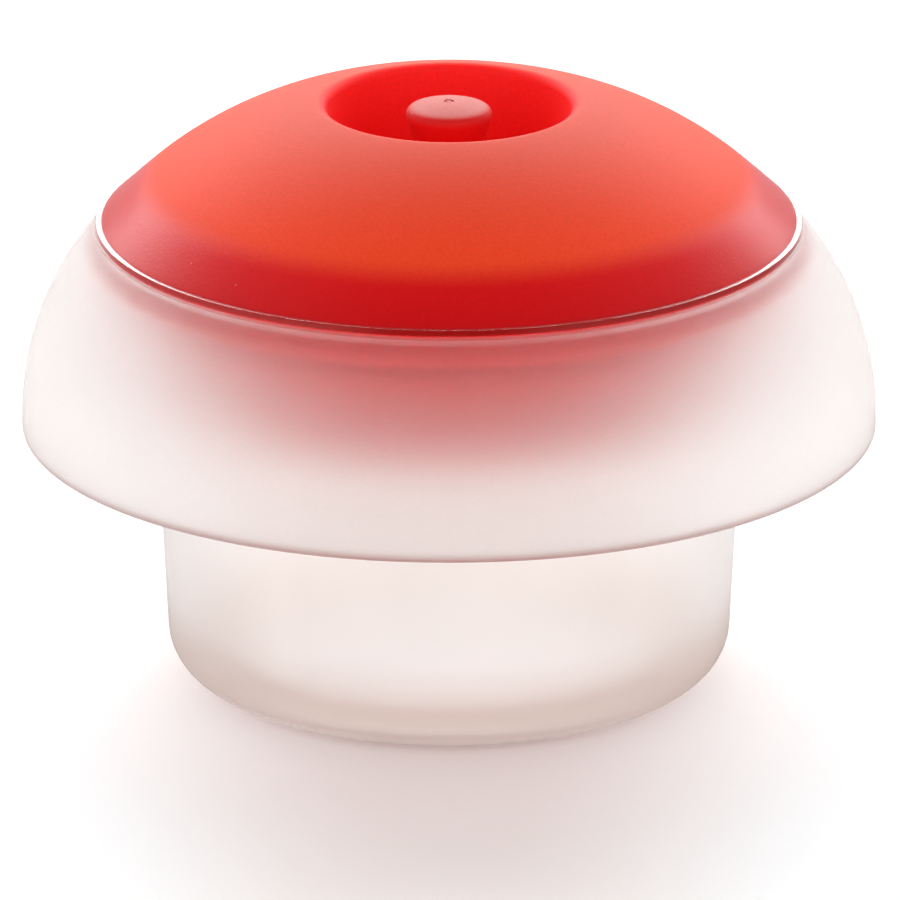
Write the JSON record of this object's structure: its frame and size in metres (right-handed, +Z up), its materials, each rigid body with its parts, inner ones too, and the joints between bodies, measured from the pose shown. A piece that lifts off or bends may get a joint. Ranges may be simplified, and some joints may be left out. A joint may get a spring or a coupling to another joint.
{
  "type": "egg cooker",
  "caption": "Mushroom-shaped egg cooker: translucent cup closed by a red domed lid with a knob in a finger well, under a frosted bell-shaped float skirt.",
  "frame": {"origin": "centre of the cup's flat foot, on the surface that it stands on", "axes": "+Z up along the axis that every piece is turned about; X and Y are alike"},
  "size_m": [0.1, 0.1, 0.0697],
  "materials": {
    "cup_silicone": "smooth, translucent natural silicone",
    "red_silicone": "matt, fine-grained, slightly translucent red silicone",
    "frosted_plastic": "frosted, fine-grained translucent plastic with a clear polished lip"
  },
  "bodies": {
    "cup_body": {"egg_cup": "cup_silicone"},
    "lid_body": {"lid": "red_silicone"},
    "skirt_body": {"float_skirt": "frosted_plastic"}
  },
  "joints": [
    {"name": "lid_lift", "type": "slide", "parent": "cup_body", "child": "lid_body", "axis": [0, 0, 1], "range_m": [0, 0.04]},
    {"name": "skirt_lift", "type": "slide", "parent": "lid_body", "child": "skirt_body", "axis": [0, 0, 1], "range_m": [0, 0.045]}
  ]
}
